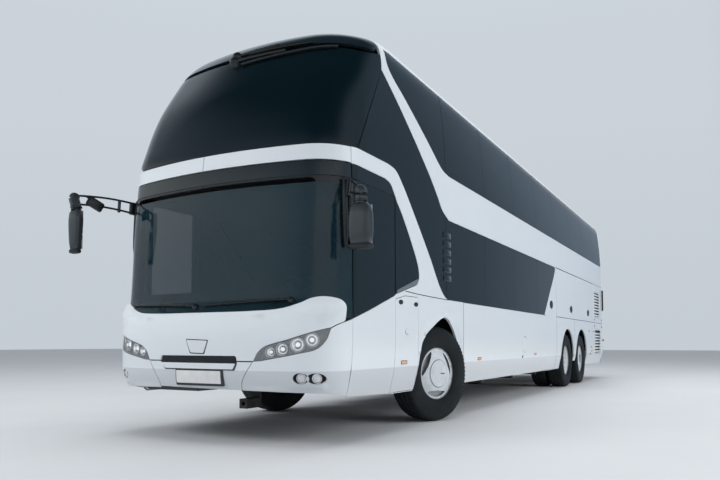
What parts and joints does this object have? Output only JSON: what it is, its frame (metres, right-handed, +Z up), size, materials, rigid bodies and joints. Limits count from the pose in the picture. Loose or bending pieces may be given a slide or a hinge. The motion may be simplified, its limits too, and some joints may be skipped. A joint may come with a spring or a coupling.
{
  "type": "double-deck touring coach",
  "caption": "White double-deck touring coach with dark glass, a curved front, steered front wheels, twin and trailing rear wheels, arm mirrors, doors and luggage hatches.",
  "frame": {"origin": "on the floor under the middle of the whole coach, mirrors included", "axes": "+Z up, front towards -Y, the driver's side (left) towards +X"},
  "size_m": [3.16, 14.1975, 4],
  "materials": {
    "paint": "gloss white paint",
    "dark_glass": "dark tinted glass",
    "clear_lamp": "clear lens over bright lamps",
    "red_lamp": "red lens",
    "floor": "speckled vinyl",
    "bay": "plain sheet",
    "housing": "black",
    "chassis": "black paint",
    "iron": "dusty grey",
    "dashboard": "grained",
    "seat_fabric": "woven",
    "black_trim": "black",
    "tyre": "rubber with bright wheel"
  },
  "bodies": {
    "body": {"side_wall_left": "paint", "side_wall_right": "paint", "side_glass": "dark_glass", "roof": "paint", "roof_cap": "paint", "rear_wall": "paint", "rear_glass": "dark_glass", "tail_lamps": "red_lamp", "front_frame": "paint", "front_panels": "paint", "front_bumper": "paint", "headlamps": "clear_lamp", "windscreen_lower": "dark_glass", "windscreen_upper": "dark_glass", "floors": "floor", "luggage_bay": "bay", "wheel_housings": "housing", "steps": "floor", "underframe": "chassis", "engine": "iron", "dashboard": "dashboard", "seats": "seat_fabric", "axles": "iron", "side_grilles": "housing", "mirrors": "black_trim", "wipers": "black_trim", "tow_socket": "chassis"},
    "front_knuckle_left": {"front_knuckle_left": "iron"},
    "front_knuckle_right": {"front_knuckle_right": "iron"},
    "tag_knuckle_left": {"tag_knuckle_left": "iron"},
    "tag_knuckle_right": {"tag_knuckle_right": "iron"},
    "front_wheel_left": {"front_wheel_left": "tyre"},
    "front_wheel_right": {"front_wheel_right": "tyre"},
    "drive_wheel_left": {"drive_wheel_left": "tyre"},
    "drive_wheel_right": {"drive_wheel_right": "tyre"},
    "tag_wheel_left": {"tag_wheel_left": "tyre"},
    "tag_wheel_right": {"tag_wheel_right": "tyre"},
    "front_door_arm": {"front_door_arm": "chassis"},
    "front_door": {"front_door": "paint"},
    "mid_door_arm": {"mid_door_arm": "chassis"},
    "mid_door": {"mid_door": "paint"},
    "exit_door": {"exit_door": "paint"},
    "luggage_hatch_left": {"luggage_hatch_left": "paint"},
    "luggage_hatch_right": {"luggage_hatch_right": "paint"},
    "service_flap": {"service_flap": "paint"},
    "filler_flap": {"filler_flap": "paint"},
    "front_flap": {"front_flap": "paint"},
    "engine_lid": {"engine_lid": "paint"}
  },
  "joints": [
    {"name": "steer_left", "type": "hinge", "parent": "body", "child": "front_knuckle_left", "pos_m": [0.98, -4.2, 0.53], "axis": [0, 0, 1], "range_deg": [-22, 54]},
    {"name": "steer_right", "type": "hinge", "parent": "body", "child": "front_knuckle_right", "pos_m": [-0.98, -4.2, 0.53], "axis": [0, 0, 1], "range_deg": [-22, 54]},
    {"name": "tag_steer_left", "type": "hinge", "parent": "body", "child": "tag_knuckle_left", "pos_m": [0.973, 4.1, 0.53], "axis": [0, 0, 1], "range_deg": [-12, 12]},
    {"name": "tag_steer_right", "type": "hinge", "parent": "body", "child": "tag_knuckle_right", "pos_m": [-0.973, 4.1, 0.53], "axis": [0, 0, 1], "range_deg": [-12, 12]},
    {"name": "front_roll_left", "type": "hinge", "parent": "front_knuckle_left", "child": "front_wheel_left", "pos_m": [1.09535, -4.23308, 0.53], "axis": [0.9613, -0.2756, 0], "continuous": true},
    {"name": "drive_roll_left", "type": "hinge", "parent": "body", "child": "drive_wheel_left", "pos_m": [1.093, 2.63, 0.53], "axis": [1, 0, 0], "continuous": true},
    {"name": "tag_roll_left", "type": "hinge", "parent": "tag_knuckle_left", "child": "tag_wheel_left", "pos_m": [1.093, 4.1, 0.53], "axis": [1, 0, 0], "continuous": true},
    {"name": "front_roll_right", "type": "hinge", "parent": "front_knuckle_right", "child": "front_wheel_right", "pos_m": [-1.09535, -4.16692, 0.53], "axis": [0.9613, -0.2756, 0], "continuous": true},
    {"name": "drive_roll_right", "type": "hinge", "parent": "body", "child": "drive_wheel_right", "pos_m": [-1.093, 2.63, 0.53], "axis": [1, 0, 0], "continuous": true},
    {"name": "tag_roll_right", "type": "hinge", "parent": "tag_knuckle_right", "child": "tag_wheel_right", "pos_m": [-1.093, 4.1, 0.53], "axis": [1, 0, 0], "continuous": true},
    {"name": "front_door_swing", "type": "hinge", "parent": "body", "child": "front_door_arm", "pos_m": [-1.11, -6.215, 1], "axis": [0, 0, 1], "range_deg": [0, 110]},
    {"name": "front_door_turn", "type": "hinge", "parent": "front_door_arm", "child": "front_door", "pos_m": [-1.15, -5.735, 1], "axis": [0, 0, 1], "range_deg": [-110, 0]},
    {"name": "mid_door_swing", "type": "hinge", "parent": "body", "child": "mid_door_arm", "pos_m": [-1.11, 0.8, 1], "axis": [0, 0, 1], "range_deg": [0, 110]},
    {"name": "mid_door_turn", "type": "hinge", "parent": "mid_door_arm", "child": "mid_door", "pos_m": [-1.15, 1.28, 1], "axis": [0, 0, 1], "range_deg": [-110, 0]},
    {"name": "exit_door_hinge", "type": "hinge", "parent": "body", "child": "exit_door", "pos_m": [1.272, 0.703, 1.2], "axis": [0, 0, 1], "range_deg": [-85, 0]},
    {"name": "hatch_left_hinge", "type": "hinge", "parent": "body", "child": "luggage_hatch_left", "pos_m": [1.275, 3.665, 2.306], "axis": [0, 1, 0], "range_deg": [-80, 0]},
    {"name": "hatch_right_hinge", "type": "hinge", "parent": "body", "child": "luggage_hatch_right", "pos_m": [-1.275, 3.665, 2.306], "axis": [0, 1, 0], "range_deg": [0, 80]},
    {"name": "service_flap_hinge", "type": "hinge", "parent": "body", "child": "service_flap", "pos_m": [1.272, -5.49, 0.86], "axis": [0, 0, 1], "range_deg": [-85, 0]},
    {"name": "filler_flap_hinge", "type": "hinge", "parent": "body", "child": "filler_flap", "pos_m": [1.272, -0.815, 0.85], "axis": [0, 0, 1], "range_deg": [-100, 0]},
    {"name": "front_flap_hinge", "type": "hinge", "parent": "body", "child": "front_flap", "pos_m": [0, -6.815, 0.392], "axis": [1, 0, 0], "range_deg": [0, 85]},
    {"name": "engine_lid_hinge", "type": "hinge", "parent": "body", "child": "engine_lid", "pos_m": [0, 7.1, 2.216], "axis": [1, 0, 0], "range_deg": [0, 80]}
  ],
  "couplings": [
    {"joint": "steer_right", "follows": "steer_left", "ratio": 1},
    {"joint": "tag_steer_right", "follows": "tag_steer_left", "ratio": 1},
    {"joint": "front_door_turn", "follows": "front_door_swing", "ratio": -1},
    {"joint": "mid_door_turn", "follows": "mid_door_swing", "ratio": -1}
  ]
}
